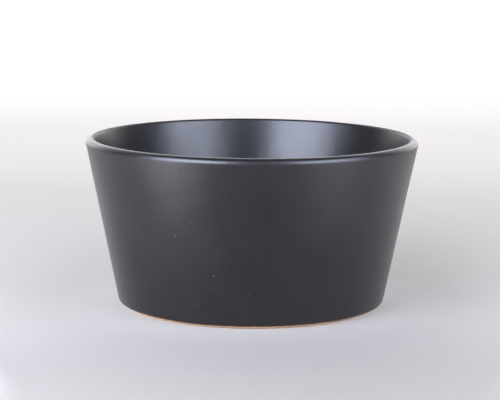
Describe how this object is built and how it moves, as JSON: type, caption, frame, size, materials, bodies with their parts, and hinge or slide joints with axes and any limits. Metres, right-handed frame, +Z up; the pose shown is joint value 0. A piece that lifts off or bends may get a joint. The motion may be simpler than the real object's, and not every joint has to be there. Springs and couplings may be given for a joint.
{
  "type": "empty candle jar",
  "caption": "Wide, tapered open ceramic candle vessel with a rounded lip, a satin black glaze inside and out, and a bare clay foot ring.",
  "frame": {"origin": "centre of the circle that the foot ring stands on", "axes": "+Z up along the jar's axis of revolution, out of its mouth; X and Y are level and equal"},
  "size_m": [0.149, 0.149, 0.075],
  "materials": {
    "bare_clay": "matt, fine grained, unglazed buff stoneware",
    "black_glaze": "satin black, faintly cool, with fine pinholes"
  },
  "bodies": {
    "root": {"clay_body": "bare_clay", "outside_glaze": "black_glaze", "inside_glaze": "black_glaze", "underside_glaze": "black_glaze"}
  },
  "joints": []
}
